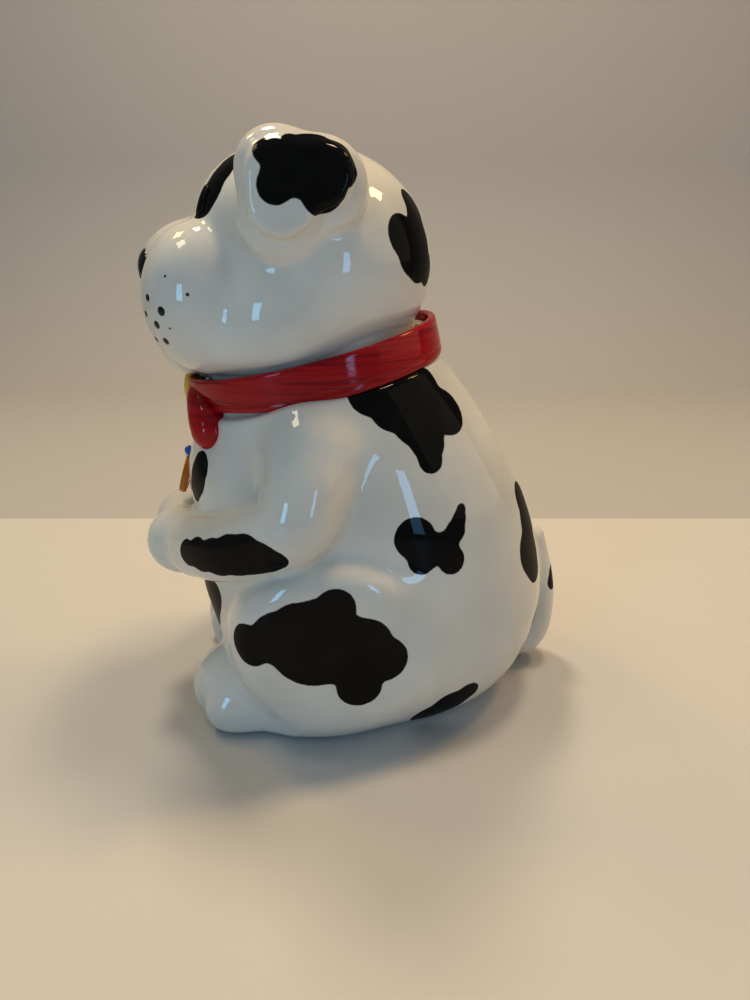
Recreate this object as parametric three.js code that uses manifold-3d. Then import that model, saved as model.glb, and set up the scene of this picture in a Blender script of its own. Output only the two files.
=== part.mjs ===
// A glazed earthenware coin bank: a sitting spotted dog with a lift-off head.
// Millimetres, +Z up, the dog faces -Y and its left side is +X.
// The head is its own casting. Its skirt drops into the neck rim of the torso, inside the red neckerchief.
// Coins go in by the slot high on the spine and come out by the stoppered hole in the base.

import * as THREE from 'three';
import { LoftGeometry } from 'three/addons/geometries/LoftGeometry.js';
import { mergeVertices } from 'three/addons/utils/BufferGeometryUtils.js';
import Module from 'manifold-3d';

const wasm = await Module();
wasm.setup();

// ---- driving dimensions ----

const WALL = 5;
const GAP = 0.3;

// The seam between torso and head: a plane that leans forward, and an oval about its centre.
const NECK_CENTRE = [0, -30.5, 178];
const NECK_TILT = THREE.MathUtils.degToRad(13.5);
const NECK_OVAL = 0.94;
const NECK_RADIUS = 57.5;
const COLLAR_THICK = 4.2;
const COLLAR_TOP = 4;
const COLLAR_BOTTOM = -14;
const SKIRT_DEPTH = 9;
const SKIRT_PLAY = 1.2;
const SKIRT_WALL = 4.5;

// The torso's outline at a few heights: height, front, back and half width.
const TORSO = [
  [0, -54, 58, 58],
  [7, -62, 69, 66],
  [20, -73, 80, 74],
  [40, -84, 87, 80],
  [62, -91, 89, 82],
  [88, -92, 83, 80],
  [112, -90, 74, 75],
  [136, -87, 60.5, 68],
  [158, -86, 46, 61],
  [180, -87, 28, 54],
];
const TORSO_SQUARENESS = 2.15;
const TORSO_POINTS = 36;
const TORSO_LEVELS = 16;
const HAUNCH = { centre: [58, -27, 50.5], radii: [27, 50, 49.5] };

const BASE_RECESS = 3.5;
const BASE_FLOOR = 9;
const FOOT_RING = 9;
const HOLE_RADIUS = 20;
const HOLE_CENTRE = [0, -4, 0];
const SLOT = { width: 5.2, length: 38, depth: 30, centre: [0, 62, 134], lean: 35 };

const SKULL = { centre: [0, -28, 219], radii: [57, 54, 51] };
const BROW = { centre: [0, -47, 235], radii: [45, 35, 34] };
const JOWL = { centre: [22, -78, 204], radii: [28, 27, 32.5] };
const BRIDGE = { centre: [0, -82, 217], radii: [20, 26, 22] };
const CHIN = { centre: [0, -84, 183], radii: [20, 19, 17] };
const CHEEK = { centre: [25, -44, 197], radii: [33, 34, 30] };
const NOSE = { centre: [0, -103.5, 219], radii: [12.5, 6.5, 10] };
const EAR = [
  { centre: [57, -42, 243], radii: [9, 19, 22], turn: [0, -8, 0] },
  { centre: [55, -31, 249], radii: [10, 20, 19], turn: [0, -12, 0] },
  { centre: [49, -38, 261], radii: [13, 20, 11], turn: [-12, 0, 0] },
];

const ARM = [
  [56, -34, 142, 20],
  [66, -38, 126, 19],
  [68, -45, 112, 18],
  [52, -70, 98, 16.5],
  [28, -88, 89, 16],
];
const PAW = { centre: [14, -98, 86.5], radii: [13.6, 18, 17.5] };
const FOOT = { centre: [41, -70, 19], radii: [19, 22, 21] };
const TOES = [
  { centre: [29, -85, 13], radii: [9.5, 11, 14] },
  { centre: [40, -86, 13], radii: [9, 11, 14] },
  { centre: [50, -79, 11], radii: [9, 12, 12] },
];
const TAIL = [
  [0, 66, 20, 15],
  [0, 84, 17, 14],
  [0, 90, 34, 12],
  [0, 90, 54, 9.5],
  [0, 87, 74, 7],
];

const BOW_LOOP = [
  [10, -89.5, 160, 5.5],
  [22, -86, 156, 7.5],
  [31, -80, 147.5, 10],
];
const KNOT = { centre: [0, -91.6, 159.6], radii: [8, 4, 8] };
const BEAD = { centre: [0, -92.6, 128.4], radius: 3 };
const HANGER = { centre: [0, -89.2, 124.6], ring: 3.2, wire: 1.5 };
const TAG = { centre: [0, -95.2, 116], radius: 9, thick: 3, lean: -18 };

const STOPPER_FLANGE = { radius: 23, thick: 2.6 };
const STOPPER_PLUG = { bottom: 19.6, top: 18.8, height: 12, hollow: 13 };

// ---- materials ----

function glaze(color) {
  return new THREE.MeshStandardMaterial({ color, roughness: 0.12, metalness: 0 });
}

const WHITE_GLAZE = glaze(0xe9e7e1);
const BLACK_GLAZE = glaze(0x0b0b0d);
const RED_GLAZE = glaze(0x9c1220);
const YELLOW_GLAZE = glaze(0xe0b51f);
const BLUE_GLAZE = glaze(0x1f4fb4);
const ORANGE_GLAZE = glaze(0xb85a17);
const RUBBER = new THREE.MeshStandardMaterial({ color: 0x2b2a29, roughness: 0.75, metalness: 0 });

// ---- helpers: placing, joining and cutting ----

function solid(geometry) {
  const bare = new THREE.BufferGeometry();
  bare.setAttribute('position', geometry.attributes.position);
  bare.setIndex(geometry.index);
  const merged = mergeVertices(bare, 1e-4);
  return new wasm.Manifold(new wasm.Mesh({
    numProp: 3,
    vertProperties: new Float32Array(merged.attributes.position.array),
    triVerts: new Uint32Array(merged.index.array),
  }));
}

function union(...solids) {
  return solids.reduce((whole, next) => whole.add(next));
}

function mirrored(point, side) {
  return [point[0] * side, ...point.slice(1)];
}

function turned(geometry, degrees) {
  const [x, y, z] = degrees.map(THREE.MathUtils.degToRad);
  return geometry.applyMatrix4(new THREE.Matrix4().makeRotationFromEuler(new THREE.Euler(x, y, z)));
}

// An ellipsoid from its centre, radii and turn in degrees, mirrored for the right side, swollen by grow.
function ellipsoid(part, { side = 1, grow = 0, around = 16 } = {}) {
  const geometry = new THREE.SphereGeometry(1, around, around / 2);
  geometry.rotateX(Math.PI / 2);
  geometry.scale(...part.radii.map((radius) => radius + grow));
  if (part.turn) {
    const [x, y, z] = part.turn;
    turned(geometry, [x, y * side, z * side]);
  }
  geometry.translate(...mirrored(part.centre, side));
  return solid(geometry);
}

// A ball of each radius at each point, filled between: a limb with round ends.
function limb(points, { side = 1, grow = 0, around = 12, levels = 3 } = {}) {
  const placed = points.map((point) => mirrored(point, side));
  const path = new THREE.CatmullRomCurve3(placed.map((point) => new THREE.Vector3(...point.slice(0, 3))));
  const steps = (points.length - 1) * levels;
  const sections = [];
  for (let end = 1; end <= levels; end += 1) {
    const angle = (end / levels - 1) * Math.PI / 2;
    sections.push({ t: 0, along: Math.sin(angle), wide: Math.cos(angle) });
  }
  for (let step = 1; step < steps; step += 1) {
    sections.push({ t: step / steps, along: 0, wide: 1 });
  }
  for (let end = 0; end < levels; end += 1) {
    const angle = (end / levels) * Math.PI / 2;
    sections.push({ t: 1, along: Math.sin(angle), wide: Math.cos(angle) });
  }
  const radii = new THREE.CatmullRomCurve3(points.map((point) => new THREE.Vector3(point[3], 0, 0)), false,
    'catmullrom');
  const across = new THREE.Vector3(1, 0, 0);
  const rings = sections.map(({ t, along, wide }) => {
    const tangent = path.getTangent(t);
    const up = new THREE.Vector3().crossVectors(tangent, across).normalize();
    const out = new THREE.Vector3().crossVectors(up, tangent).normalize();
    const radius = radii.getPoint(t).x + grow;
    const centre = path.getPoint(t).addScaledVector(tangent, along * radius);
    return ring(around, (cos, sin) => centre.clone()
      .addScaledVector(out, radius * wide * cos)
      .addScaledVector(up, radius * wide * sin));
  });
  return solid(new LoftGeometry(rings, { capStart: true, capEnd: true }));
}

function ring(count, place) {
  const points = [];
  for (let index = 0; index < count; index += 1) {
    const angle = (index / count) * Math.PI * 2;
    points.push(place(Math.cos(angle), Math.sin(angle)));
  }
  return points;
}

// A solid of revolution about +Z from a profile of [radius, height] pairs.
function revolved(profile, around = 36) {
  const geometry = new THREE.LatheGeometry(profile.map(([x, y]) => new THREE.Vector2(x, y)), around);
  geometry.rotateX(Math.PI / 2);
  return geometry;
}

function plug(radius, bottom, top, around) {
  return revolved([[0, bottom], [radius, bottom], [radius, top], [0, top]], around);
}

// Moves a geometry made about the seam's centre to the neck, narrowed to the neck's oval.
function atNeck(geometry) {
  geometry.scale(NECK_OVAL, 1, 1);
  geometry.rotateX(NECK_TILT);
  geometry.translate(...NECK_CENTRE);
  return solid(geometry);
}

// Everything above the height in the neck's leaning frame, or everything below it.
function neckSpace(height, up) {
  const size = 500;
  return atNeck(new THREE.BoxGeometry(size, size, size).translate(0, 0, height + up * size / 2));
}

function below(height) {
  const size = 500;
  return solid(new THREE.BoxGeometry(size, size, size).translate(0, 0, height - size / 2));
}

// ---- torso ----

function torsoLoft(grow) {
  const front = new THREE.CatmullRomCurve3(
    TORSO.map(([z, y, , x]) => new THREE.Vector3(x + grow, y - grow, z)), false, 'catmullrom');
  const back = new THREE.CatmullRomCurve3(
    TORSO.map(([z, , y, x]) => new THREE.Vector3(x + grow, y + grow, z)), false, 'catmullrom');
  const rounding = 2 / TORSO_SQUARENESS;
  const rings = [];
  for (let level = 0; level <= TORSO_LEVELS; level += 1) {
    const a = front.getPoint(level / TORSO_LEVELS);
    const b = back.getPoint(level / TORSO_LEVELS);
    const middle = (a.y + b.y) / 2;
    const depth = (b.y - a.y) / 2;
    rings.push(ring(TORSO_POINTS, (cos, sin) => new THREE.Vector3(
      a.x * Math.sign(cos) * Math.abs(cos) ** rounding,
      middle + depth * Math.sign(sin) * Math.abs(sin) ** rounding,
      a.z)));
  }
  return solid(new LoftGeometry(rings, { capStart: true, capEnd: true }));
}

function neckPlug(radius, bottom, top) {
  return atNeck(plug(radius, bottom, top));
}

function torsoOutside(grow = 0) {
  return union(
    torsoLoft(grow).subtract(neckSpace(COLLAR_BOTTOM + grow, 1)),
    ellipsoid(HAUNCH, { grow, around: 24 }),
    ellipsoid(HAUNCH, { grow, around: 24, side: -1 }),
    neckPlug(NECK_RADIUS + grow, COLLAR_BOTTOM - 12, grow),
  ).subtract(below(0));
}

function torsoInside() {
  const thin = { grow: -WALL, around: 16 };
  return union(
    torsoLoft(-WALL).subtract(neckSpace(COLLAR_BOTTOM - WALL, 1)),
    ellipsoid(HAUNCH, thin),
    ellipsoid(HAUNCH, { ...thin, side: -1 }),
    neckPlug(NECK_RADIUS - WALL, COLLAR_BOTTOM - 12, 10),
  ).subtract(below(BASE_FLOOR));
}

function bodyShell() {
  const recess = ring(TORSO_POINTS, (cos, sin) => new THREE.Vector3(
    (TORSO[0][3] - FOOT_RING) * cos,
    (TORSO[0][1] + TORSO[0][2]) / 2 + (TORSO[0][2] - TORSO[0][1] - 2 * FOOT_RING) / 2 * sin,
    0));
  const raised = recess.map((point) => point.clone().setZ(BASE_RECESS));
  const slot = new THREE.BoxGeometry(SLOT.width, SLOT.depth, SLOT.length);
  turned(slot, [SLOT.lean, 0, 0]).translate(...SLOT.centre);
  return torsoOutside()
    .subtract(torsoInside())
    .subtract(solid(new LoftGeometry([recess.map((point) => point.clone().setZ(-1)), raised],
      { capStart: true, capEnd: true })))
    .subtract(solid(plug(HOLE_RADIUS, -1, BASE_FLOOR + 1).translate(...HOLE_CENTRE)))
    .subtract(solid(slot));
}

// ---- head ----

function headOutside(grow = 0) {
  const barrel = [[0, GAP - grow], [NECK_RADIUS - 1.5 + grow, GAP - grow], [NECK_RADIUS - 1 + grow, 10],
    [NECK_RADIUS - 4 + grow, 26], [0, 26]];
  return union(
    ellipsoid(SKULL, { grow, around: 28 }),
    ellipsoid(BROW, { grow, around: 20 }),
    ellipsoid(JOWL, { grow, around: 20 }),
    ellipsoid(JOWL, { grow, around: 20, side: -1 }),
    ellipsoid(CHEEK, { grow, around: 20 }),
    ellipsoid(CHEEK, { grow, around: 20, side: -1 }),
    ellipsoid(BRIDGE, { grow }),
    ellipsoid(CHIN, { grow }),
    atNeck(revolved(barrel)),
  );
}

function headInside() {
  const hollow = { grow: -WALL, around: 16 };
  return union(
    ellipsoid(SKULL, hollow),
    ellipsoid(BROW, hollow),
    ellipsoid(JOWL, hollow),
    ellipsoid(JOWL, { ...hollow, side: -1 }),
  ).subtract(neckSpace(WALL, -1));
}

function headShell() {
  const skirt = NECK_RADIUS - WALL - SKIRT_PLAY;
  const rim = NECK_RADIUS + COLLAR_THICK + 1;
  const overCollar = [[NECK_RADIUS - 1.5, COLLAR_BOTTOM - 2], [rim, COLLAR_BOTTOM - 2], [rim, COLLAR_TOP + 0.8],
    [NECK_RADIUS - 1.5, COLLAR_TOP + 0.8], [NECK_RADIUS - 1.5, COLLAR_BOTTOM - 2]];
  return headOutside()
    .subtract(headInside())
    .subtract(neckSpace(GAP, -1))
    .subtract(atNeck(revolved(overCollar)))
    .add(neckPlug(skirt, -SKIRT_DEPTH, WALL + 2))
    .subtract(neckPlug(skirt - SKIRT_WALL, -SKIRT_DEPTH - 1, 4 * WALL));
}

function nose() {
  return ellipsoid(NOSE).subtract(headOutside(GAP));
}

function ear(side) {
  return union(...EAR.map((lobe) => ellipsoid(lobe, { side, around: 16 }))).subtract(headOutside(GAP));
}

// ---- limbs ----

function arm(side) {
  return union(limb(ARM, { side }), ellipsoid(PAW, { side })).subtract(torsoOutside(GAP));
}

function foot(side) {
  const toes = TOES.map((toe) => ellipsoid(toe, { side, around: 12 }));
  return union(ellipsoid(FOOT, { side }), ...toes)
    .subtract(torsoOutside(GAP))
    .subtract(below(0));
}

function tail() {
  return limb(TAIL).subtract(torsoOutside(GAP)).subtract(below(0));
}

// ---- neckerchief and tag ----

function collar(grow = 0) {
  const inner = NECK_RADIUS + GAP - grow;
  const outer = NECK_RADIUS + COLLAR_THICK + grow;
  const bottom = COLLAR_BOTTOM - grow;
  const top = COLLAR_TOP + grow;
  const lip = COLLAR_BOTTOM + 3;
  return atNeck(revolved([[inner, bottom], [outer, bottom], [outer, lip], [outer - 0.6, lip + 0.6],
    [outer - 0.3, 0], [outer - 0.6, top - 0.8], [outer - 1.6, top], [inner, top], [inner, bottom]]));
}

function bowLoop(side, grow = 0) {
  return limb(BOW_LOOP, { side, grow, around: 12 });
}

function knot(grow = 0) {
  return ellipsoid(KNOT, { grow, around: 16 });
}

function tagPlate() {
  const edge = 0.7;
  const half = TAG.thick / 2;
  const geometry = revolved([[0, -half], [TAG.radius - edge, -half], [TAG.radius, edge - half],
    [TAG.radius, half - edge], [TAG.radius - edge, half], [0, half]], 32);
  turned(geometry, [90 + TAG.lean, 0, 0]).translate(...TAG.centre);
  return solid(geometry);
}

function hanger(grow = 0) {
  const geometry = new THREE.TorusGeometry(HANGER.ring, HANGER.wire + grow, 8, 16);
  turned(geometry, [0, 90, 0]).translate(...HANGER.centre);
  return solid(geometry);
}

function bead(grow = 0) {
  return ellipsoid({ centre: BEAD.centre, radii: [BEAD.radius, BEAD.radius, BEAD.radius] }, { grow, around: 12 });
}

// ---- stopper ----

function stopper() {
  const under = BASE_RECESS - GAP;
  const { bottom, top, height, hollow } = STOPPER_PLUG;
  const { radius, thick } = STOPPER_FLANGE;
  const floor = under - thick;
  return solid(revolved([[0, under + height], [top, under + height], [bottom, under], [radius, under],
    [radius, floor], [hollow, floor], [hollow - 1, under + height - 3], [0, under + height - 3]].reverse())
    .translate(...HOLE_CENTRE));
}

// ---- assembly ----

const dog = new THREE.Group();

function addNode(name, shape, material) {
  const { vertProperties, triVerts } = shape.getMesh();
  const geometry = new THREE.BufferGeometry();
  geometry.setAttribute('position', new THREE.BufferAttribute(vertProperties, 3));
  geometry.setIndex(new THREE.BufferAttribute(triVerts, 1));
  geometry.computeVertexNormals();
  const mesh = new THREE.Mesh(geometry, material);
  mesh.name = name;
  dog.add(mesh);
}

addNode('body_shell', bodyShell(), WHITE_GLAZE);
addNode('head_shell', headShell(), WHITE_GLAZE);
addNode('nose', nose(), BLACK_GLAZE);
addNode('tail', tail(), WHITE_GLAZE);
for (const [word, side] of [['left', 1], ['right', -1]]) {
  addNode(`ear_${word}`, ear(side), WHITE_GLAZE);
  addNode(`arm_${word}`, arm(side), WHITE_GLAZE);
  addNode(`foot_${word}`, foot(side), WHITE_GLAZE);
  addNode(`bow_loop_${word}`,
    bowLoop(side).subtract(collar(GAP)).subtract(torsoOutside(GAP)).subtract(knot(GAP)), RED_GLAZE);
}
addNode('collar_band', collar(), RED_GLAZE);
addNode('bow_knot', knot().subtract(collar(GAP)).subtract(torsoOutside(GAP)), YELLOW_GLAZE);
addNode('tag_loop', hanger().subtract(torsoOutside(GAP)), WHITE_GLAZE);
addNode('tag_bead', bead().subtract(hanger(GAP)), BLUE_GLAZE);
addNode('tag_plate', tagPlate().subtract(bead(GAP)).subtract(hanger(GAP)), ORANGE_GLAZE);
addNode('base_stopper', stopper(), RUBBER);

// The origin is the middle of the whole bank's box, at the height of its base.
const box = new THREE.Box3().setFromObject(dog);
dog.position.y = -(box.min.y + box.max.y) / 2;
dog.updateMatrixWorld(true);

export default dog;
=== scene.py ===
"""A sitting spotted dog bank in glazed earthenware: its castings, brushed-on spots, collar, bow and tag.

Lengths are in millimetres in the design's own axes (left is +X, the face looks along -Y, the table is Z 0)
until place() moves them to the frame, in metres. A ball or an ellipsoid is a centre and its radii.
"""

import math

import bpy
import numpy as np
from mathutils import Euler, Matrix, Vector


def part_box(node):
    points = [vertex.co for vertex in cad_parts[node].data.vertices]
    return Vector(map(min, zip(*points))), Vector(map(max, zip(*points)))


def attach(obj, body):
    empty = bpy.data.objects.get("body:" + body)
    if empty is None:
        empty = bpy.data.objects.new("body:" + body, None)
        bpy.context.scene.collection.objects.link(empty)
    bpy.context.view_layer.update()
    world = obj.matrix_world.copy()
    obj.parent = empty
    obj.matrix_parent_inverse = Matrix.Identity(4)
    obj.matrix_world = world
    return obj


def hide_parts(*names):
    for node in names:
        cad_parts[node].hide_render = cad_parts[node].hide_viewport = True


# ---- dimensions ----

# The neck, collar, skirt, base, hole and slot follow the frame.
WALL = 5.0
STOPPER_CENTRE_Y = -4.0
NECK_CENTRE = (0.0, -30.5, 178.0)
NECK_TILT = 13.5
NECK_OVAL = 0.94
NECK_RADIUS = 57.5
NECK_BOTTOM = -26.0
COLLAR_THICK = 4.2
COLLAR_TOP = 4.0
COLLAR_BOTTOM = -14.0
GAP = 0.3
SKIRT_DEPTH = 9.0
SKIRT_PLAY = 1.2
SKIRT_WALL = 4.5
BASE_RECESS = 3.5
BASE_FLOOR = 9.0
FOOT_RING = 9.0
HOLE_RADIUS = 20.0
SLOT_CENTRE = (0, 62, 134)
# Width, length and depth, and degrees from upright.
SLOT_SIZE = (5.2, 38, 30)
SLOT_LEAN = 35

# The finished head is thicker, and narrower up to just above the collar, whose lower edge rises at the front.
HEAD_WALL = 6.0
COLLAR_INSET = 1.5
COLLAR_CLEARANCE = 0.8
COLLAR_LIFT = 4.5

# The finished torso is a little slimmer than the frame's: height, front, back and half width.
TORSO = (
    (0, -54, 58, 56.5), (7, -62, 69, 64.5), (20, -73, 80, 72), (40, -84, 87, 77), (62, -91, 89, 78),
    (88, -92, 83, 76.5), (112, -90, 74, 73.5), (136, -87, 60.5, 68), (158, -86, 46, 61), (180, -87, 28, 54),
)
SQUARENESS = 2.15

# Centre (y, z), radii along Y and Z as seen from the side, and half width at the face.
HAUNCH = (-27, 53, 49.5, 46.5, 85.5)
# Balls along a limb: x, y, z and radius.
ARM = ((56, -34, 142, 20), (66, -38, 126, 19), (68, -45, 112, 18), (52, -70, 98, 16.5), (28, -88, 89, 16))
PAW = ((15.5, -98.5, 86.5), (13.6, 18, 17.5))
PAW_MERGE = 8.0
FOOT = ((41, -71, 21), (18.5, 22, 21))
TOES = (((28, -83, 16), (9.5, 11, 16)), ((40, -85, 17), (9, 11, 17)), ((52.5, -75.5, 12), (10, 14, 12.5)))
HEEL = ((47, -50, 9), (13, 27, 12))
CHEST = ((0, -62, 120), (50, 32, 37))
TAIL = ((0, 66, 20, 15), (0, 84, 17, 14), (0, 90, 34, 12), (0, 90, 54, 9.5), (0, 87, 74, 7))

SKULL = ((0, -28, 219), (57, 54, 51))
BROW = ((0, -47, 235), (45, 35, 34))
JOWL = ((22, -78.5, 205.5), (28, 27, 32.5))
BRIDGE = ((0, -82, 217), (20, 26, 22))
CHIN = ((0, -84, 183), (20, 19, 17))
CHEEK = ((25, -44, 197), (33, 34, 30))
NOSE = ((0, -103.5, 217), (12.0, 6.3, 9.8))
NOSTRIL = ((4.2, -109.3, 214.6, 1.5), (7.2, -107.9, 213.2, 1.1))

FAR = 1e3
EDGE_ROUNDING = 2.6


# ---- distance fields: each takes arrays x, y, z and gives millimetres outside the surface ----

def blend_min(a, b, width):
    """The nearer of two distances, with a fillet of that width where they meet."""
    overlap = np.maximum(width - np.abs(a - b), 0.0) / width
    return np.minimum(a, b) - overlap ** 3 * (width / 6)


def blend_max(a, b, width):
    return -blend_min(-a, -b, width)


def ellipsoid(x, y, z, part):
    (cx, cy, cz), (rx, ry, rz) = part
    x, y, z = x - cx, y - cy, z - cz
    near = np.sqrt((x / rx) ** 2 + (y / ry) ** 2 + (z / rz) ** 2)
    slope = np.sqrt((x / rx ** 2) ** 2 + (y / ry ** 2) ** 2 + (z / rz ** 2) ** 2)
    return near * (near - 1.0) / np.maximum(slope, 1e-6)


def through(points, steps):
    """A Catmull-Rom curve through the points, with that many steps in each span."""
    points = np.array(points, float)
    first, last = 2 * points[0] - points[1], 2 * points[-1] - points[-2]
    padded = np.vstack([first, points, last])
    curve = []
    for span in range(len(points) - 1):
        a, b, c, d = padded[span:span + 4]
        for step in range(steps):
            t = step / steps
            curve.append(0.5 * (2 * b + (c - a) * t + (2 * a - 5 * b + 4 * c - d) * t ** 2
                                + (3 * b - a - 3 * c + d) * t ** 3))
    return np.array(curve + [points[-1]])


def limb(x, y, z, points, steps=8):
    """Balls of each point's radius swept along a curve through the points."""
    curve = through(points, steps)
    nearest = FAR
    for (ax, ay, az, ar), (bx, by, bz, br) in zip(curve[:-1], curve[1:]):
        dx, dy, dz = bx - ax, by - ay, bz - az
        t = np.clip(((x - ax) * dx + (y - ay) * dy + (z - az) * dz) / (dx * dx + dy * dy + dz * dz), 0, 1)
        gap = np.sqrt((x - ax - t * dx) ** 2 + (y - ay - t * dy) ** 2 + (z - az - t * dz) ** 2)
        nearest = np.minimum(nearest, gap - ar - t * (br - ar))
    return nearest


def stations():
    """The torso's half width, middle and half depth at each half millimetre of height, and their slopes."""
    curve = through(TORSO, 40)
    z = np.arange(-30, 215, 0.5)
    columns = [np.interp(z, curve[:, 0], curve[:, k]) for k in (1, 2, 3)]
    # A running mean rounds the kinks that the curve keeps at its points.
    kernel = np.hanning(31)
    kernel /= kernel.sum()
    pad = len(kernel) // 2
    front, back, half = (np.convolve(np.pad(column, pad, "edge"), kernel, "valid") for column in columns)
    table = (half, (front + back) / 2, (back - front) / 2)
    return z, table, [np.gradient(column, z) for column in table]


STATIONS = stations()


def torso(x, y, z):
    heights, table, slopes = STATIONS
    half, middle, depth = (np.interp(z, heights, column) for column in table)
    half_slope, middle_slope, depth_slope = (np.interp(z, heights, column) for column in slopes)
    n = SQUARENESS
    u = np.abs(x) / half
    v = np.abs(y - middle) / depth
    un, vn = u ** (n - 1), v ** (n - 1)
    total = np.maximum(un * u + vn * v, 1e-6)
    q = total ** (1 / n)
    share = q / total
    gx = un / half
    gy = vn / depth
    gz = un * u * half_slope / half + gy * (v * depth_slope + np.sign(y - middle) * middle_slope)
    return (q - 1.0) / np.maximum(share * np.sqrt(gx ** 2 + gy ** 2 + gz ** 2), 1e-6)


def neck_frame(x, y, z):
    """Distance from the neck's leaning axis, on its oval, and height above the seam."""
    lean = math.radians(NECK_TILT)
    y, z = y - NECK_CENTRE[1], z - NECK_CENTRE[2]
    along = math.cos(lean) * y + math.sin(lean) * z
    height = math.cos(lean) * z - math.sin(lean) * y
    return np.sqrt((x / NECK_OVAL) ** 2 + along ** 2), height


def base_ring_field(x, y, inset):
    half, front, back = TORSO[0][3] - inset, TORSO[0][1] + inset, TORSO[0][2] - inset
    return ellipsoid(x, y, 0.0, ((0, (front + back) / 2, 0), (half, (back - front) / 2, FAR)))


def body_core(x, y, z):
    """The pot with its haunches and neck, without its limbs."""
    reach, height = neck_frame(x, y, z)
    core = blend_max(torso(x, y, z), height - COLLAR_BOTTOM, 3)
    cy, cz, reach_y, reach_z, face = HAUNCH
    rim = np.hypot((y - cy) * reach_z / reach_y, z - cz) - reach_z
    haunch = blend_max(rim, np.abs(x) - face, np.clip(56 - (z - cz) * 0.8, 26, 56))
    # A ledge over the thigh that fades downwards and towards the back.
    fillet = np.clip(6 + np.maximum(72 - z, 0) * 0.45 + np.maximum(y, 0) * 0.7, 6, 28)
    core = blend_min(core, haunch, fillet)
    neck = np.maximum(reach - NECK_RADIUS, NECK_BOTTOM - height)
    return blend_min(core, neck, 4)


def body_limbs(x, y, z):
    """The arms and the feet; the left one of each is used for both sides."""
    side = np.abs(x)
    # The paws lie against each other, with only a shallow valley between them.
    paws = ellipsoid(np.hypot(x, PAW_MERGE), y, z, PAW)
    arms = blend_min(limb(side, y, z, ARM), paws, 9)
    feet = ellipsoid(side, y, z, FOOT)
    toes = FAR
    for toe in TOES:
        toes = blend_min(toes, ellipsoid(side, y, z, toe), 2.5)
    feet = blend_min(blend_min(feet, toes, 3), ellipsoid(side, y, z, HEEL), 16)
    return arms, feet


def pot_hollow(core, z):
    return blend_max(core + WALL, BASE_FLOOR - z, 6)


def base_cut(x, y, z):
    """The recess inside the foot ring, and the stopper's hole."""
    recess = np.maximum(base_ring_field(x, y, FOOT_RING), z - BASE_RECESS)
    hole = np.maximum(np.hypot(x, y - STOPPER_CENTRE_Y) - HOLE_RADIUS, z - BASE_FLOOR - 2)
    return np.minimum(recess, hole)


def slot_cut(x, y, z):
    lean = math.radians(SLOT_LEAN)
    dy, dz = y - SLOT_CENTRE[1], z - SLOT_CENTRE[2]
    out = math.cos(lean) * dy + math.sin(lean) * dz
    up = math.cos(lean) * dz - math.sin(lean) * dy
    width, length, depth = SLOT_SIZE
    slot = np.hypot(np.maximum(np.abs(up) - length / 2 + width / 2, 0), x) - width / 2
    return np.maximum(slot, np.abs(out) - depth / 2)


def body_field(x, y, z):
    core = body_core(x, y, z)
    height = neck_frame(x, y, z)[1]
    arms, feet = body_limbs(x, y, z)
    skin = blend_min(core, ellipsoid(x, y, z, CHEST), 12)
    # The shoulder flows into the body; the forearm keeps a crease.
    skin = blend_min(skin, arms, np.clip((z - 95) * 0.35, 5, 17))
    # The crease over the foot fades towards the table and the heel.
    fillet = np.clip(8 + (38 - z) * 0.6 + np.maximum(y + 62, 0) * 0.8, 8, 40)
    skin = blend_min(skin, feet, fillet)
    skin = blend_min(skin, limb(x, y, z, TAIL), 7)
    skin = blend_max(skin, height, 2)
    skin = blend_max(skin, -z, 4)
    cut = np.minimum(pot_hollow(core, z), base_cut(x, y, z))
    cut = np.minimum(cut, slot_cut(x, y, z))
    return blend_max(skin, -cut, EDGE_ROUNDING)


# ---- head ----

# The ear's mound and the flap folded over it, seen from the side: circles of (y, z, radius), joined.
MOUND = ((-43, 238, 18), (-44, 256, 17), (-27, 250, 19.5))
FLAP = ((-42, 255, 13.5), (-42.5, 243.5, 13), (-27, 254, 12.5))
MOUND_SPAN = (32.0, 61.5)
FLAP_FACE = 66.0
FLAP_BACK = 45.0
FLAP_MIDDLE = 250.0
FLAP_RIDGE = (64.0, 264.0)
# How the flap's face leans out with height, and the slope of the ridge's flat top.
FLAP_LEAN = 0.08
RIDGE_SLOPE = (0.7, 0.714)


def circles(y, z, rings, width):
    nearest = FAR
    for cy, cz, radius in rings:
        nearest = blend_min(nearest, np.hypot(y - cy, z - cz) - radius, width)
    return nearest


def ear(side, y, z):
    mound = blend_max(circles(y, z, MOUND, 10), side - MOUND_SPAN[1], 20)
    mound = blend_max(mound, MOUND_SPAN[0] - side, 26)
    top = RIDGE_SLOPE[0] * (side - FLAP_RIDGE[0]) + RIDGE_SLOPE[1] * (z - FLAP_RIDGE[1])
    flap = blend_max(circles(y, z, FLAP, 10), side - FLAP_FACE + FLAP_LEAN * (z - FLAP_MIDDLE), 6)
    flap = blend_max(flap, FLAP_BACK - side, 4)
    return blend_max(blend_min(mound, flap, 3), top, 7)


def head_core(x, y, z):
    side = np.abs(x)
    core = blend_min(ellipsoid(x, y, z, SKULL), ellipsoid(x, y, z, BROW), 14)
    core = blend_min(core, ellipsoid(side, y, z, CHEEK), 16)
    jowls = blend_min(ellipsoid(x, y, z, JOWL), ellipsoid(-x, y, z, JOWL), 6)
    jowls = blend_min(jowls, ellipsoid(x, y, z, BRIDGE), 9)
    jowls = blend_min(jowls, ellipsoid(x, y, z, CHIN), 4)
    # The crease behind the jowls fades towards the throat.
    return blend_min(core, jowls, np.clip(8 + (208 - z) * 0.7, 8, 26))


def skull_hollow(core, height):
    return blend_max(core + HEAD_WALL, WALL - height, 5)


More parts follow.
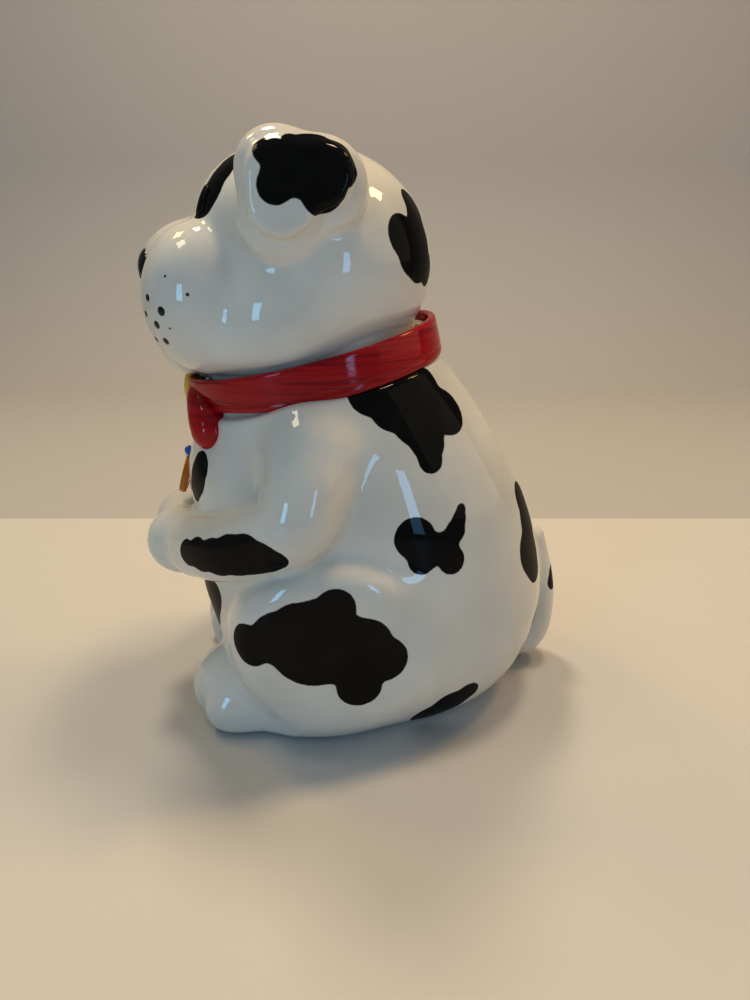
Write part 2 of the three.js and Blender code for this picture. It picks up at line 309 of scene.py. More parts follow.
def head_field(x, y, z):
    radius, height = neck_frame(x, y, z)
    core = head_core(x, y, z)
    skin = blend_min(core, ear(np.abs(x), y, z), 4)
    # The head narrows to go inside the collar, and ends just above the seam.
    inset = np.maximum(NECK_RADIUS - COLLAR_INSET - radius, height - COLLAR_TOP - COLLAR_CLEARANCE)
    skin = blend_max(skin, -inset, 2.5)
    skin = blend_max(skin, GAP - height, 2.5)
    skirt_radius = NECK_RADIUS - WALL - SKIRT_PLAY
    skirt = blend_max(np.maximum(radius - skirt_radius, height - WALL), -SKIRT_DEPTH - height, 2)
    skin = blend_min(skin, skirt, 1.5)
    mouth = np.maximum(radius - skirt_radius + SKIRT_WALL, height - 4 * WALL)
    return blend_max(skin, -blend_min(skull_hollow(core, height), mouth, 3), 2)


# ---- painted spots: where each is seen from, and its balls as two places on that view and a radius ----

BODY_SPOTS = (
    ("left", ((-64.5, 61.5, 10.5), (-50, 66.5, 13.5), (-43, 74.5, 9.5), (-35, 77, 8.5), (-36, 63, 20),
              (-24, 61, 17.5), (-26, 81, 9), (-13, 63, 12), (-5, 54, 11.2), (-16, 41, 10.3))),
    ("left", ((10, 107, 9.5), (13, 97, 6.5), (19, 101, 7), (27, 95, 6.5), (24, 102, 6.5), (29, 108, 5),
              (31, 113, 3.4), (32, 117, 2.2))),
    ("left", ((-8, 168, 10), (1, 161, 9.5), (8, 163, 14), (11, 154, 9.5), (17, 147, 9), (18, 139, 6),
              (27, 157, 11.5), (15, 169, 12))),
    ("left", ((-92, 95, 6.5), (-86, 97, 8.5), (-78, 98.5, 9.5), (-70, 101.5, 10.5), (-63, 103.5, 10.5),
              (-56, 103.5, 8.5), (-50, 103.5, 5))),
    ("back", ((30, 107.5, 9.5), (33, 97, 11), (40, 84, 13), (40, 76, 9))),
    ("left", ((20, 10, 10), (29, 15.5, 10.5), (38, 21, 7))),
    ("back", ((2, 53, 6.5), (6, 49, 4.5))),
    ("left", ((-85, 58, 12), (-84, 66, 11), (-87, 70, 8))),
    ("front", ((33, 130.5, 7.5), (31.5, 124.5, 8.5), (28.5, 118.5, 6.5))),
    ("right", ((-60, 54, 9), (-50, 62, 12), (-38, 58, 15), (-25, 63, 16), (-14, 74, 10), (-30, 76, 10),
               (-13, 57, 9), (-38, 44, 9))),
    ("right", ((8, 113, 8), (17, 108, 10), (27, 112, 8), (22, 97, 8), (33, 103, 7), (19, 122, 6))),
    ("right", ((-18, 164, 9), (-6, 160, 12), (8, 164, 10), (4, 149, 9), (10, 141, 7), (-10, 150, 7))),
    ("right", ((-88, 99, 7), (-80, 101, 9), (-70, 101, 9), (-61, 104, 6.5))),
    ("right", ((38, 38, 7), (47, 42, 9), (42, 50, 8), (52, 53, 6), (35, 47, 5))),
    ("back", ((-40, 88, 9), (-31, 82, 11), (-22, 76, 9), (-38, 74, 8), (-27, 69, 7))),
    ("back", ((-27, 163, 8), (-18, 158, 9), (-30, 152, 8), (-20, 149, 6))),
    ("back", ((20, 38, 7), (28, 32, 9), (33, 42, 7), (23, 46, 6))),
    ("front", ((-24, 68, 9), (-33, 62, 8), (-20, 60, 8), (-28, 74, 7))),
)
HEAD_SPOTS = (
    ("left", ((-46.5, 262, 6), (-40, 256, 9), (-44.5, 249.5, 7), (-34, 256, 11), (-26.5, 246.5, 8.5),
              (-25, 255, 10))),
    ("left", ((-38, 266, 3.5), (-30, 265, 7), (-21, 261, 7.5), (-16, 255, 6))),
    ("front", ((25, 244.5, 7.5), (26, 249, 8.5), (24, 256, 8), (20, 261.5, 6.5))),
    ("back", ((22, 244, 8), (27, 237, 8), (40, 231.5, 9.5), (30, 229, 11), (38, 224, 9), (33, 222, 10.5),
              (24, 217, 7.5))),
    ("right", ((-47, 262, 6), (-44, 252, 9), (-36, 257, 11), (-27, 251, 10), (-33, 242, 8), (-22, 258, 7))),
    ("back", ((-36, 212, 8), (-28, 218, 10), (-19, 226, 8), (-37, 225, 7), (-17, 215, 6))),
    ("top", ((-14, -20, 8), (-6, -13, 9), (-16, -8, 7), (-3, -4, 6))),
)
# Dots on each jowl as (y, z, radius), seen from the side.
WHISKERS = ((-100, 207, 1.7), (-94, 202, 2.1), (-102, 200, 1.5), (-97, 196, 1.9), (-99, 189, 1.5),
            (-94, 189, 1.8), (-91, 216, 0.6), (-82, 209, 0.8), (-91, 195, 0.5))
SPOT_BLEND = 4.0


# ---- meshing ----

PULLS = 3
POLISHES = 2


def net(values, low, pitch):
    """Quads round the zero level of a grid of distances, with one vertex in each cell that it crosses."""
    inside = values < 0
    cells = np.array(values.shape) - 1
    total, count, quads = np.zeros((3, cells.prod())), np.zeros(cells.prod()), []
    for axis in range(3):
        a, b = (axis + 1) % 3, (axis + 2) % 3
        flips = np.argwhere(np.diff(inside, axis=axis))
        ends = flips.copy()
        ends[:, axis] += 1
        start, end = values[tuple(flips.T)], values[tuple(ends.T)]
        point = flips.astype(float)
        point[:, axis] += start / (start - end)
        ring = []
        for da, db in ((-1, -1), (0, -1), (0, 0), (-1, 0)):
            cell = flips.copy()
            cell[:, a] += da
            cell[:, b] += db
            flat = np.ravel_multi_index(tuple(cell.T), tuple(cells))
            count += np.bincount(flat, minlength=len(count))
            for k in range(3):
                total[k] += np.bincount(flat, weights=point[:, k], minlength=len(count))
            ring.append(flat)
        ring = np.array(ring).T
        quads.append(np.where((start < 0)[:, None], ring, ring[:, ::-1]))
    used = np.flatnonzero(count)
    index = np.zeros(len(count), int)
    index[used] = np.arange(len(used))
    points = (total[:, used] / count[used]).T * pitch + low
    return points, index[np.vstack(quads)]


def gradient(field, points, step=0.05):
    columns = []
    for axis in range(3):
        offset = np.zeros(3)
        offset[axis] = step
        columns.append((field(*(points + offset).T) - field(*(points - offset).T)) / (2 * step))
    return np.array(columns).T


def pulled(field, points, furthest):
    """The points moved onto the field's surface."""
    slope = gradient(field, points)
    move = field(*points.T) / np.maximum((slope ** 2).sum(1), 0.05)
    return points - slope * np.clip(move, -furthest, furthest)[:, None]


def eased(points, quads, share):
    """Each point moved part of the way to the middle of its neighbours."""
    tips = np.concatenate([quads.ravel(), np.roll(quads, -1, 1).ravel()])
    others = np.concatenate([np.roll(quads, -1, 1).ravel(), quads.ravel()])
    total = len(points)
    count = np.bincount(tips, minlength=total)
    middle = np.array([np.bincount(tips, weights=points[others, k], minlength=total) for k in range(3)]).T
    return points + share * (middle / count[:, None] - points)


def skinned(field, low, high, pitch, mirror=True):
    """Vertices and quads of the field's surface, from cells of that pitch between two corners.

    A mirrored field is sampled on the left half only.
    """
    low, high = np.array(low, float), np.array(high, float)
    pitch *= 1
    axes = [np.arange(low[k], high[k] + pitch, pitch) for k in range(3)]
    if mirror:
        half = np.arange(0, high[0] + pitch, pitch)
        axes[0] = half
        low = np.array([-half[-1], low[1], low[2]])
    x, y, z = (axis.reshape(shape) for axis, shape in zip(axes, ((-1, 1, 1), (1, -1, 1), (1, 1, -1))))
    values = np.broadcast_to(field(x, y, z), [len(axis) for axis in axes])
    if mirror:
        values = np.concatenate([values[:0:-1], values])
    points, quads = net(values, low, pitch)
    for _ in range(PULLS):
        points = pulled(field, eased(points, quads, 0.5), pitch)
    # Easing out again by a little more keeps the volume while it takes off ripples.
    for _ in range(POLISHES):
        points = eased(eased(points, quads, 0.5), quads, -0.52)
    return points, quads


# ---- objects ----

def place(points):
    """Millimetres of the design as metres of the frame."""
    return (np.asarray(points) + OFFSET) / 1000


def made(name, points, faces, material, body, hides=(), attributes=None):
    """A smooth-shaded piece from points in the design's millimetres, riding on a body."""
    mesh = bpy.data.meshes.new(name)
    mesh.from_pydata(place(points).tolist(), [], [list(map(int, face)) for face in faces])
    mesh.polygons.foreach_set("use_smooth", [True] * len(mesh.polygons))
    for key, values in (attributes or {}).items():
        mesh.attributes.new(key, "FLOAT", "POINT").data.foreach_set("value", np.asarray(values, np.float32))
    mesh.materials.append(material)
    mesh.validate()
    piece = bpy.data.objects.new(name, mesh)
    bpy.context.scene.collection.objects.link(piece)
    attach(piece, body)
    if hides:
        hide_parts(*hides)
    return piece


def lathe(profile, around=96):
    """A closed surface of revolution about +Z from (radius, height) points; a radius of 0 closes it."""
    points, faces = [], []
    rows = []
    for radius, height in profile:
        if radius < 1e-6:
            rows.append([len(points)])
            points.append((0.0, 0.0, height))
            continue
        rows.append(list(range(len(points), len(points) + around)))
        for step in range(around):
            angle = 2 * math.pi * step / around
            points.append((radius * math.cos(angle), radius * math.sin(angle), height))
    pairs = list(zip(rows[:-1], rows[1:]))
    if len(rows[0]) > 1:
        pairs.append((rows[-1], rows[0]))
    for lower, upper in pairs:
        for step in range(around):
            after = (step + 1) % around
            ring = [lower[step % len(lower)], lower[after % len(lower)],
                    upper[after % len(upper)], upper[step % len(upper)]]
            faces.append(list(dict.fromkeys(ring)))
    return np.array(points), faces


def at_neck(points):
    """Points made about the seam's centre, narrowed to the neck's oval and leant with it."""
    lean = Matrix.Rotation(math.radians(NECK_TILT), 3, "X")
    return np.array([lean @ Vector((x * NECK_OVAL, y, z)) + Vector(NECK_CENTRE) for x, y, z in points])


def rounded(corners, radius, steps=6):
    """A closed outline with its corners turned into arcs; a corner is (x, y) or (x, y, its own radius)."""
    outline = []
    count = len(corners)
    for k in range(count):
        before, here, after = (Vector(corners[(k + d) % count][:2]) for d in (-1, 0, 1))
        has_own = len(corners[k]) > 2
        reach = corners[k][2] if has_own else radius
        start = here + (before - here).normalized() * reach
        end = here + (after - here).normalized() * reach
        for step in range(steps + 1):
            t = step / steps
            outline.append((start * (1 - t) ** 2 + here * 2 * t * (1 - t) + end * t ** 2)[:])
    return outline


# ---- materials ----

COAT_ROUGHNESS = 0.03
# Black spots are fired thinner, so they shine less than the white.
BLACK_COAT = 0.3
WHITE = ((0.70, 0.675, 0.625), (0.78, 0.755, 0.705))
BLACK = ((0.006, 0.006, 0.007), (0.012, 0.011, 0.010))
# Millimetres by which a spot's edge wobbles, and over which it fades.
SPOT_WOBBLE = 0.5
SPOT_EDGE = 0.55


def shader(name, colour, roughness, coat=1.0):
    material = bpy.data.materials.new(name)
    material.use_nodes = True
    main = material.node_tree.nodes["Principled BSDF"]
    main.inputs["Base Color"].default_value = (*colour, 1)
    main.inputs["Roughness"].default_value = roughness
    main.inputs["Coat Weight"].default_value = coat
    main.inputs["Coat Roughness"].default_value = COAT_ROUGHNESS
    main.inputs["Coat IOR"].default_value = 1.52
    main.inputs["IOR"].default_value = 1.5
    main.inputs["Specular IOR Level"].default_value = 0.0
    return material, main


def node(material, kind, **values):
    made_node = material.node_tree.nodes.new(kind)
    for key, value in values.items():
        if key in made_node.inputs:
            made_node.inputs[key].default_value = value
        else:
            setattr(made_node, key, value)
    return made_node


def link(material, source, target):
    material.node_tree.links.new(source, target)


def noise(material, scale, detail=2.0, stretch=(1, 1, 1), turn=(0, 0, 0)):
    """Noise of that many cells a metre, stretched along the axes."""
    where = node(material, "ShaderNodeTexCoord")
    mapping = node(material, "ShaderNodeMapping")
    mapping.inputs["Rotation"].default_value = turn
    mapping.inputs["Scale"].default_value = stretch
    texture = node(material, "ShaderNodeTexNoise", Scale=scale, Detail=detail)
    link(material, where.outputs["Object"], mapping.inputs["Vector"])
    link(material, mapping.outputs["Vector"], texture.inputs["Vector"])
    return texture.outputs["Fac"]


def ramp(material, source, stops):
    """Colours or grey levels at positions, read by the source."""
    element = node(material, "ShaderNodeValToRGB")
    link(material, source, element.inputs["Fac"])
    points = element.color_ramp.elements
    while len(points) < len(stops):
        points.new(0.5)
    for point, (position, colour) in zip(points, stops):
        point.position = position
        point.color = (*colour, 1)
    return element.outputs["Color"]


def bump(material, main, height, strength, distance):
    element = node(material, "ShaderNodeBump", Strength=strength, Distance=distance)
    link(material, height, element.inputs["Height"])
    link(material, element.outputs["Normal"], main.inputs["Normal"])
    link(material, element.outputs["Normal"], main.inputs["Coat Normal"])


def glaze(name, dark, light, bump_strength=0.12):
    """A glassy glaze over a colour that clouds gently between two tones."""
    material, main = shader(name, light, 0.42)
    clouds = ramp(material, noise(material, 26, 3), ((0.35, dark), (0.65, light)))
    link(material, clouds, main.inputs["Base Color"])
    bump(material, main, noise(material, 70, 2), bump_strength, 0.0006)
    return material, main, clouds


def painted_glaze():
    """White glaze with near-black underglaze spots where the paint attribute is below zero."""
    material, main, clouds = glaze("white_glaze_painted", *WHITE)
    paint = node(material, "ShaderNodeAttribute", attribute_name="paint")
    wobble = node(material, "ShaderNodeMath", operation="MULTIPLY_ADD")
    wobble.inputs[1].default_value = SPOT_WOBBLE
    link(material, noise(material, 420, 2), wobble.inputs[0])
    link(material, paint.outputs["Fac"], wobble.inputs[2])
    edge = node(material, "ShaderNodeMapRange", interpolation_type="SMOOTHSTEP")
    edge.inputs["From Min"].default_value = 0.0
    edge.inputs["From Max"].default_value = SPOT_EDGE
    link(material, wobble.outputs[0], edge.inputs["Value"])
    black = ramp(material, noise(material, 60, 3), ((0.3, BLACK[0]), (0.7, BLACK[1])))
    mix = node(material, "ShaderNodeMix", data_type="RGBA")
    link(material, edge.outputs["Result"], mix.inputs["Factor"])
    link(material, black, mix.inputs["A"])
    link(material, clouds, mix.inputs["B"])
    link(material, mix.outputs["Result"], main.inputs["Base Color"])
    gloss = node(material, "ShaderNodeMapRange")
    gloss.inputs["To Min"].default_value = BLACK_COAT
    link(material, edge.outputs["Result"], gloss.inputs["Value"])
    link(material, gloss.outputs["Result"], main.inputs["Coat Weight"])
    return material


def red_glaze():
    """Red brushed on: the streaks run round the collar, and the glaze pools darker between them."""
    material, main = shader("red_glaze_brushed", (0.36, 0.008, 0.013), 0.3, coat=0.7)
    lean = math.radians(NECK_TILT)
    streaks = noise(material, 60, 4, stretch=(0.35, 0.35, 9), turn=(-lean, 0, 0))
    tone = ramp(material, streaks, ((0.28, (0.20, 0.003, 0.008)), (0.45, (0.38, 0.006, 0.013)),
                                    (0.78, (0.50, 0.016, 0.020))))
    link(material, tone, main.inputs["Base Color"])
    bump(material, main, streaks, 0.35, 0.0005)
    return material


def plain_glaze(name, dark, light):
    return glaze(name, dark, light, 0.25)[0]


def rubber():
    material, main = shader("stopper_rubber_moulded", (0.03, 0.03, 0.03), 0.6, coat=0.0)
    stops = ((0.3, (0.020, 0.020, 0.021)), (0.7, (0.036, 0.035, 0.034)))
    tone = ramp(material, noise(material, 400, 4), stops)
    link(material, tone, main.inputs["Base Color"])
    bump(material, main, noise(material, 1500, 3), 0.3, 0.0002)
    return material


# ---- pieces ----

def body_piece(materials):
    points, quads = skinned(body_field, (-92, -122, -3), (92, 112, 196), 1.5)
    hidden = pot_hollow(body_core(*points.T), points[:, 2]) < WALL / 3
    paint = np.where(hidden, FAR, painted(body_field, points, BODY_SPOTS))
    made("body_casting", points, quads, materials["white"], "bank_body",
         ("body_shell", "arm_left", "arm_right", "foot_left", "foot_right", "tail"), {"paint": paint})


def head_piece(materials):
    points, quads = skinned(head_field, (-72, -114, 150), (72, 34, 279), 1.15)
    hidden = skull_hollow(head_core(*points.T), neck_frame(*points.T)[1]) < WALL / 3
    paint = np.where(hidden, FAR, painted(head_field, points, HEAD_SPOTS))
    made("head_casting", points, quads, materials["white"], "head",
         ("head_shell", "ear_left", "ear_right"), {"paint": paint})


RAY_START = 300.0
RAY_STEPS = 80
RAY_STRIDE = 0.7


def onto(field, view, spot):
    """Where a view's rays through the spot's places meet the surface.

    Left and right look along X at (y, z), back and front along Y at (x, z), and top looks down at (x, y).
    """
    axis, sign, rest = {"left": (0, 1, (1, 2)), "right": (0, -1, (1, 2)), "back": (1, 1, (0, 2)),
                        "front": (1, -1, (0, 2)), "top": (2, 1, (0, 1))}[view]
    places = np.array([ball[:2] for ball in spot], float)
    points = np.zeros((len(spot), 3))
    points[:, rest] = places
    points[:, axis] = sign * RAY_START
    for _ in range(RAY_STEPS):
        points[:, axis] -= sign * RAY_STRIDE * field(*points.T)
    return points


def painted(field, points, spots):
    """Distance outside the spots, each a cluster of balls laid on the surface."""
    nearest = np.full(len(points), FAR)
    for view, spot in spots:
        patch = np.full(len(points), FAR)
        for centre, (_, _, radius) in zip(onto(field, view, spot), spot):
            patch = blend_min(patch, np.linalg.norm(points - centre, axis=1) - radius, SPOT_BLEND)
        nearest = np.minimum(nearest, patch)
    return nearest


def collar_piece(materials):
    inner, outer = NECK_RADIUS + GAP, NECK_RADIUS + COLLAR_THICK
    # A shallow groove runs round above the lower edge, and the upper edge is full and round.
    corners = ((inner, COLLAR_BOTTOM), (outer - 0.6, COLLAR_BOTTOM), (outer, COLLAR_BOTTOM + 2.4, 0.8),
               (outer - 0.5, COLLAR_BOTTOM + 3.4, 0.8), (outer, COLLAR_BOTTOM + 4.6, 0.8),
               (outer, COLLAR_TOP, 1.9), (inner, COLLAR_TOP, 1.9))
    points, faces = lathe(rounded(corners, 0.5), 240)
    # The band narrows towards the bow.
    frontness = np.clip((-points[:, 1] / outer - 0.15) / 0.85, 0, 1)
    points[:, 2] += COLLAR_LIFT * frontness * (COLLAR_TOP - points[:, 2]) / (COLLAR_TOP - COLLAR_BOTTOM)
    made("collar", at_neck(points), faces, materials["red"], "bank_body", ("collar_band",))


def nose_field(x, y, z):
    return blend_max(ellipsoid(x, y, z, NOSE), -limb(np.abs(x), y, z, NOSTRIL, 3), 1.2)


def nose_piece(materials):
    points, quads = skinned(nose_field, (-15, -113, 204), (15, -94, 230), 0.6)
    made("nose_glazed", points, quads, materials["black"], "head", ("nose",))


# The left eye's place seen from the front, and half its height, width and depth.
EYE = (22.5, 245)
EYE_TALL = 5.2
EYE_WIDE = 2.6
EYE_DEEP = 1.4
# How far the lid lies outside the eyeball at its sides and ends, and how thick it is.
LID_SIDE = 0.7
LID_END = 0.8
LID_RADIUS = 0.75


def eye_field(x, y, z):
    """An almond eyeball in a raised lid, about its own centre, facing -Y."""
    ball = ellipsoid(x, y, z, ((0, 0, 0), (EYE_WIDE, EYE_DEEP, EYE_TALL)))
    wide, tall = EYE_WIDE + LID_SIDE, EYE_TALL + LID_END
    rim = np.hypot(x / wide, z / tall)
    lid = np.hypot((rim - 1) * wide, y) - LID_RADIUS
    return blend_min(ball, lid, 0.5)


def eye_piece(name, side, materials):
    """Both eyes have one shape; the left lies in a black spot, and the right is black in a white lid."""
    points, quads = skinned(eye_field, (-7, -4, -10), (7, 4, 10), 0.45)
    dark = np.hypot(points[:, 0] / EYE_WIDE, points[:, 2] / EYE_TALL) - 1
    paint = np.full(len(points), -2.0) if side > 0 else dark * EYE_WIDE
    points[:, 0] *= side
    if side < 0:
        quads = quads[:, ::-1]
    centre = onto(head_field, "front", ((side * EYE[0], EYE[1]),))
    outward = gradient(head_field, centre)[0]
    turn = Vector(outward).to_track_quat("-Y", "Z").to_matrix()
    points = points @ np.array(turn).T + centre
    made(name, points, quads, materials["white"], "head", attributes={"paint": paint})


# A whisker dot's profile, as shares of its radius and heights in millimetres.
DOT = ((0, 0.28), (0.45, 0.24), (0.8, 0.12), (1, -0.1), (0.8, -0.4), (0, -0.4))


def whisker_piece(materials):
    """Dots of black glaze, thick enough to stand proud, on the front of both jowls."""
    dot, faces = lathe(DOT, 20)
    points, quads = [], []
    for side in (1, -1):
        places = onto(head_field, "left" if side > 0 else "right", WHISKERS)
        for centre, outward, (_, _, radius) in zip(places, gradient(head_field, places), WHISKERS):
            turn = np.array(Vector(outward).to_track_quat("Z", "Y").to_matrix())
            quads += [[index + len(points) for index in face] for face in faces]
            points += ((dot * (radius, radius, 1)) @ turn.T + centre).tolist()
    made("whisker_dots", points, quads, materials["black"], "head")


# ---- bow and tag ----

BOW_LOOP = ((9, -86.0, 162, 4.6), (18, -83.4, 158.5, 7.2), (27, -80.0, 152, 9.3), (30, -78.8, 147.0, 9.3))
BOW_FOLD = ((9, -91.3, 163, 1.0), (17, -91.8, 158.5, 1.2), (24, -91.4, 152.5, 0.9))
KNOT = ((0, -89.4, 160.5), (8.5, 4.4, 10.5))
KNOT_CREASE = ((3.0, -94, 151, 0.7), (3.4, -94.6, 160, 0.7), (3.0, -94, 170, 0.7))
BEAD = ((0, -94.0, 129.2), 2.4)
# The radius of the bead's hole, and the angle from its axis, in radians, at which the ball ends.
BEAD_HOLE = 0.7
BEAD_END = 0.24
HANGER = ((0, -91.8, 126.6), 3.2, 1.1)
TAG_CENTRE = (0, -96.0, 117)
TAG_RADIUS = 9.8
TAG_LEAN = -16


def bow_field(x, y, z):
    loop = limb(x, y, z, BOW_LOOP, 6)
    loop = blend_max(loop, -limb(x, y, z, BOW_FOLD, 4), 1.6)
    return blend_max(loop, 5.2 - x, 2)


def knot_field(x, y, z):
    """The yellow knot, with a crease down each side."""
    crease = limb(np.abs(x), y, z, KNOT_CREASE, 3)
    return blend_max(ellipsoid(x, y, z, KNOT), -crease, 0.8)


def bow_pieces(materials):
    points, quads = skinned(bow_field, (1, -101, 132), (44, -66, 172), 0.8, mirror=False)
    for word, side in (("left", 1), ("right", -1)):
        turned = points * (side, 1, 1)
        made(f"bow_{word}", turned, quads[:, ::side], materials["red"], "bank_body",
             (f"bow_loop_{word}",))
    points, quads = skinned(knot_field, (-10, -96, 148), (10, -83, 173), 0.5)
    made("bow_band", points, quads, materials["yellow"], "bank_body", ("bow_knot",))


def tag_pieces(materials):
    turn = np.array(Euler((math.radians(90 + TAG_LEAN), 0, 0)).to_matrix())
    rim, face = TAG_RADIUS - 0.5, TAG_RADIUS - 2.4
    edge = rounded(((face, 1.2), (rim, 1.2, 0.3), (rim, 2.1, 0.7), (face, 2.1, 0.7)), 0.3, 4)
    points, faces = lathe(edge, 64)
    made("tag_rim", points @ turn.T + TAG_CENTRE, faces, materials["yellow"], "bank_body")
    outer = ((TAG_RADIUS - 2, -1.6), (TAG_RADIUS, -1.6, 1.2), (TAG_RADIUS, 1.7, 1.0), (rim, 1.7))
    outer = rounded(outer, 0.3, 4)
    plate = [(0, -1.6)] + outer + [(face, 1.4), (5, 1.6), (2.5, 1.7), (0, 1.75)]
    points, faces = lathe(plate, 64)
    made("tag_face", points @ turn.T + TAG_CENTRE, faces, materials["orange"], "bank_body",
         ("tag_plate",))
    centre, ring, wire = HANGER
    turns = [2 * math.pi * k / 20 for k in range(20)]
    loop = [(ring + wire * math.cos(a), wire * math.sin(a)) for a in turns]
    points, faces = lathe(loop, 48)
    turn = np.array(Euler((0, math.radians(90), 0)).to_matrix())
    made("tag_ring", points @ turn.T + centre, faces, materials["plain_white"], "bank_body",
         ("tag_loop",))
    centre, radius = BEAD
    turns = np.linspace(BEAD_END, math.pi - BEAD_END, 24)
    ball = [(radius * math.sin(a), radius * math.cos(a)) for a in turns]
    hole = [(BEAD_HOLE, ball[0][1] - 0.3), (BEAD_HOLE, -ball[0][1] + 0.3)]
    points, faces = lathe(ball[::-1] + hole, 40)
    made("tag_bead_glazed", points + centre, faces, materials["blue"], "bank_body",
         ("tag_bead",))


# ---- stopper ----

STOPPER_FLANGE = 2.6
STOPPER_PLUG = 12


def stopper_piece(materials):
    """A hollow rubber bung with a rounded flange, two grip ribs and a raised ring round its finger hole."""
    under = BASE_RECESS - GAP
    floor, top = under - STOPPER_FLANGE, under + STOPPER_PLUG
    # Radius, height and rounding, from the top down the ribbed plug to the flange and into the finger hole.
    profile = (
        (0, top, 0.1), (18.8, top, 1.2), (19.0, under + 9.2, 0.5), (19.5, under + 8.4, 0.4),
        (19.1, under + 7.6, 0.4), (19.3, under + 4.2, 0.4), (19.8, under + 3.4, 0.4),
        (19.4, under + 2.6, 0.4), (19.4, under, 0.4), (23, under, 0.8), (23, floor, 0.8),
        (16.5, floor, 0.5), (16, floor - 0.5, 0.3), (14.5, floor - 0.5, 0.3), (13, floor, 0.5),
        (12, under + 9, 0.8), (0, under + 9, 0.1),
    )
    outline = [(max(r, 0), h) for r, h in rounded(profile, 0.4, 4)]
    outline = [(0, profile[0][1])] + [point for point in outline if point[0] > 0.5] + [(0, profile[-1][1])]
    points, faces = lathe(outline[::-1], 96)
    made("stopper", points + (0, STOPPER_CENTRE_Y, 0), faces, materials["rubber"], "stopper",
         ("base_stopper",))


# ---- stage ----

CAMERA_YAW = math.radians(6)
CAMERA_PITCH = math.radians(20)
CAMERA_DISTANCE = 0.374
CAMERA_HEIGHT = 0.235
# The lens's focal length as a share of the picture's height.
FOCAL_SHARE = 0.751
BACKDROP_EDGE = -0.226
BACKDROP_BEND = -0.75
BACKDROP_RADIUS = 0.35
BACKDROP_TOP = 2.5
STAGE_REACH = 3
ROOM_LIGHT = (0.90, 0.99, 1.0)
ROOM_STRENGTH = 0.185


def flat(name, corners, material):
    mesh = bpy.data.meshes.new(name)
    mesh.from_pydata(corners, [], [range(len(corners))])
    mesh.materials.append(material)
    sheet = bpy.data.objects.new(name, mesh)
    sheet.rotation_euler.z = -CAMERA_YAW
    bpy.context.scene.collection.objects.link(sheet)


def matt(name, colour, roughness):
    material, main = shader(name, colour, roughness, coat=0.0)
    main.inputs["Specular IOR Level"].default_value = 0.2
    return material


def area_light(name, at, towards, size, power, colour):
    lamp = bpy.data.lights.new(name, "AREA")
    lamp.shape = "RECTANGLE"
    lamp.size, lamp.size_y = size
    lamp.energy = power
    lamp.color = colour
    holder = bpy.data.objects.new(name, lamp)
    holder.location = at
    holder.rotation_euler = (Vector(towards) - Vector(at)).to_track_quat("-Z", "Y").to_euler()
    bpy.context.scene.collection.objects.link(holder)


def backdrop_profile(steps=16):
    """A sheet that lies on the floor behind the object and sweeps up into a wall, as (x, z)."""
    centre = (BACKDROP_BEND, BACKDROP_RADIUS)
    profile = [(BACKDROP_EDGE, 0.0)]
    for step in range(steps + 1):
        angle = step / steps * math.pi / 2
        out, down = BACKDROP_RADIUS * math.sin(angle), BACKDROP_RADIUS * math.cos(angle)
        profile.append((centre[0] - out, centre[1] - down))
    return profile + [(centre[0] - BACKDROP_RADIUS, BACKDROP_TOP)]


MIDDLE = Vector((0, 0, 0.13))


def aimed(azimuth, elevation, distance):
    """A place seen from the bank's middle, with azimuth from +X towards +Y, in degrees."""
    a, e = math.radians(azimuth), math.radians(elevation)
    return Vector((math.cos(a) * math.cos(e), math.sin(a) * math.cos(e), math.sin(e))) * distance + MIDDLE


# Name, azimuth, elevation, distance, width, height, watts, colour.
LIGHTS = (
    ("lamp_left", -85, 62, 1.35, 0.25, 0.25, 1.4, (1.0, 0.84, 0.60)),
    ("lamp_right", 123, 76, 1.35, 0.22, 0.22, 5.0, (1.0, 0.80, 0.54)),
    ("lamp_behind", -160, 68, 1.35, 0.22, 0.22, 6.0, (1.0, 0.81, 0.58)),
    ("warm_back_right", 108, 52, 1.35, 0.22, 0.22, 3.4, (1.0, 0.60, 0.20)),
    ("warm_back_left", -125, 55, 1.35, 0.22, 0.22, 2.0, (1.0, 0.68, 0.20)),
    ("back_fill", 78, 24, 1.9, 1.8, 1.4, 3.2, (1.0, 0.80, 0.52)),
    ("window_front", -40, 10, 1.7, 0.30, 0.56, 3.4, (0.22, 0.62, 1.0)),
    ("window_side", 27, 7, 1.7, 0.18, 0.56, 1.6, (0.24, 0.58, 1.0)),
)


def stage():
    near, far, reach = STAGE_REACH, BACKDROP_EDGE, STAGE_REACH
    flat("table", [(far, -reach, 0), (near, -reach, 0), (near, reach, 0), (far, reach, 0)],
         matt("table_top", (0.62, 0.61, 0.61), 0.5))
    profile = backdrop_profile()
    points = [(x, y, z) for y in (-reach, reach) for x, z in profile]
    count = len(profile)
    mesh = bpy.data.meshes.new("backdrop")
    mesh.from_pydata(points, [], [(k, k + 1, k + 1 + count, k + count) for k in range(count - 1)])
    mesh.polygons.foreach_set("use_smooth", [True] * len(mesh.polygons))
    mesh.materials.append(matt("backdrop_paper", (0.46, 0.46, 0.48), 0.8))
    sheet = bpy.data.objects.new("backdrop", mesh)
    sheet.rotation_euler.z = -CAMERA_YAW
    bpy.context.scene.collection.objects.link(sheet)
    for name, azimuth, elevation, distance, width, height, power, colour in LIGHTS:
        area_light(name, aimed(azimuth, elevation, distance), MIDDLE, (width, height), power, colour)
    world = bpy.data.worlds.new("room")
    world.use_nodes = True
    world.node_tree.nodes["Background"].inputs["Color"].default_value = (*ROOM_LIGHT, 1)
    world.node_tree.nodes["Background"].inputs["Strength"].default_value = ROOM_STRENGTH
    bpy.context.scene.world = world
    bpy.context.scene.view_settings.view_transform = "Standard"
    bpy.context.scene.view_settings.look = "Medium High Contrast"


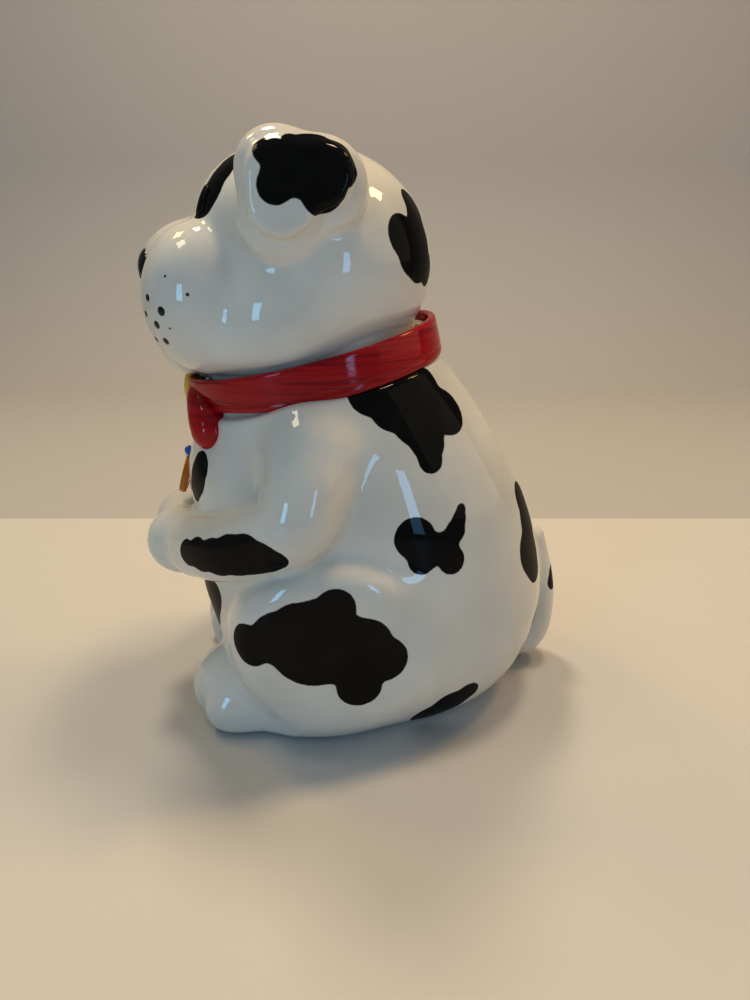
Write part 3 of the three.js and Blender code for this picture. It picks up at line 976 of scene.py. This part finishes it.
def camera():
    lens = bpy.data.cameras.new("camera")
    lens.sensor_width = 36
    lens.lens = FOCAL_SHARE * lens.sensor_width
    holder = bpy.data.objects.new("camera", lens)
    out = Vector((math.cos(CAMERA_YAW), -math.sin(CAMERA_YAW), 0))
    holder.location = out * CAMERA_DISTANCE + Vector((0, OFFSET[1] / 1000, CAMERA_HEIGHT))
    look = -out * math.cos(CAMERA_PITCH) - Vector((0, 0, math.sin(CAMERA_PITCH)))
    holder.rotation_euler = look.to_track_quat("-Z", "Y").to_euler()
    bpy.context.scene.collection.objects.link(holder)
    bpy.context.scene.camera = holder


# ---- build ----

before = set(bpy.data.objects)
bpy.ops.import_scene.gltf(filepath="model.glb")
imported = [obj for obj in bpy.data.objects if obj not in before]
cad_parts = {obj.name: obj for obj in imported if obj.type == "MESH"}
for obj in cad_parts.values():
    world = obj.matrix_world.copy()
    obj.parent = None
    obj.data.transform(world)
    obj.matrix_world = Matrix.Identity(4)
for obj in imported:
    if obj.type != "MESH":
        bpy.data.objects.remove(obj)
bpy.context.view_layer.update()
stopper_low, stopper_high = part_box("base_stopper")
OFFSET = np.array([0.0, (stopper_low.y + stopper_high.y) * 500 - STOPPER_CENTRE_Y, 0.0])

camera()
stage()
MATERIALS = {
    "white": painted_glaze(),
    "plain_white": plain_glaze("white_glaze_plain", *WHITE),
    "black": plain_glaze("black_glaze_deep", *BLACK),
    "red": red_glaze(),
    "yellow": plain_glaze("yellow_glaze_brushed", (0.62, 0.36, 0.02), (0.80, 0.52, 0.05)),
    "blue": plain_glaze("blue_glaze_brushed", (0.01, 0.06, 0.38), (0.03, 0.12, 0.60)),
    "orange": plain_glaze("orange_glaze_brushed", (0.36, 0.09, 0.01), (0.55, 0.17, 0.02)),
    "rubber": rubber(),
}
body_piece(MATERIALS)
head_piece(MATERIALS)
nose_piece(MATERIALS)
eye_piece("eye_left", 1, MATERIALS)
eye_piece("eye_right", -1, MATERIALS)
whisker_piece(MATERIALS)
collar_piece(MATERIALS)
bow_pieces(MATERIALS)
tag_pieces(MATERIALS)
stopper_piece(MATERIALS)
